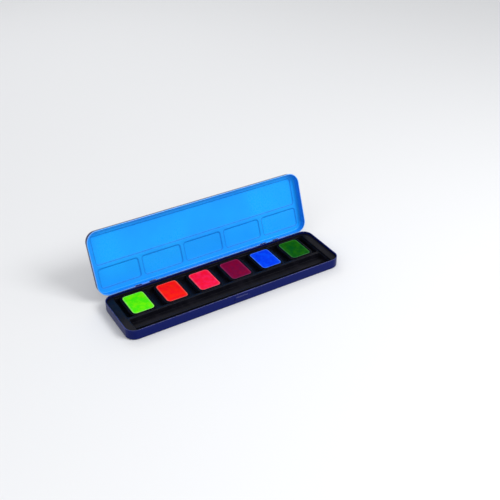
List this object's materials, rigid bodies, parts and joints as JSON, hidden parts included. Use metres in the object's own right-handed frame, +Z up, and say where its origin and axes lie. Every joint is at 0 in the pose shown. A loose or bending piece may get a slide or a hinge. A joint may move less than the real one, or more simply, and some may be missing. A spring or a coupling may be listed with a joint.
{
  "type": "watercolour paint box",
  "caption": "Slim hinged metal watercolour box, standing open: a row of square pans in a moulded insert with a brush gutter, and mixing wells pressed into the lid.",
  "frame": {"origin": "centre of the flat underside of the base", "axes": "+X along the box, +Y towards the hinge, +Z up"},
  "size_m": [0.2336, 0.0918, 0.0687],
  "materials": {
    "tin_lacquer": "gloss",
    "lid_enamel": "satin",
    "pin_steel": "satin",
    "black_moulding": "satin",
    "lime_paint": "dry cake of watercolour",
    "orange_paint": "dry cake of watercolour",
    "pink_paint": "dry cake of watercolour",
    "crimson_paint": "dry cake of watercolour",
    "blue_paint": "dry cake of watercolour",
    "green_paint": "dry cake of watercolour"
  },
  "bodies": {
    "base": {"base_tin": "tin_lacquer", "hinge_pin_left": "pin_steel", "hinge_pin_right": "pin_steel"},
    "lid": {"lid_tin": "tin_lacquer"},
    "insert": {"tray_insert": "black_moulding"},
    "lime_pan": {"pan_lime": "black_moulding", "paint_lime": "lime_paint"},
    "orange_pan": {"pan_orange": "black_moulding", "paint_orange": "orange_paint"},
    "pink_pan": {"pan_pink": "black_moulding", "paint_pink": "pink_paint"},
    "crimson_pan": {"pan_crimson": "black_moulding", "paint_crimson": "crimson_paint"},
    "blue_pan": {"pan_blue": "black_moulding", "paint_blue": "blue_paint"},
    "green_pan": {"pan_green": "black_moulding", "paint_green": "green_paint"}
  },
  "joints": [
    {"name": "lid_hinge", "type": "hinge", "parent": "base", "child": "lid", "pos_m": [0, 0.03205, 0.0088], "axis": [-1, 0, 0], "range_deg": [-110, 0]},
    {"name": "tray_lift", "type": "slide", "parent": "base", "child": "insert", "axis": [0, 0, 1], "range_m": [0, 0.03]},
    {"name": "pan_lime_lift", "type": "slide", "parent": "insert", "child": "lime_pan", "axis": [0, 0, 1], "range_m": [0, 0.02]},
    {"name": "pan_orange_lift", "type": "slide", "parent": "insert", "child": "orange_pan", "axis": [0, 0, 1], "range_m": [0, 0.02]},
    {"name": "pan_pink_lift", "type": "slide", "parent": "insert", "child": "pink_pan", "axis": [0, 0, 1], "range_m": [0, 0.02]},
    {"name": "pan_crimson_lift", "type": "slide", "parent": "insert", "child": "crimson_pan", "axis": [0, 0, 1], "range_m": [0, 0.02]},
    {"name": "pan_blue_lift", "type": "slide", "parent": "insert", "child": "blue_pan", "axis": [0, 0, 1], "range_m": [0, 0.02]},
    {"name": "pan_green_lift", "type": "slide", "parent": "insert", "child": "green_pan", "axis": [0, 0, 1], "range_m": [0, 0.02]}
  ]
}
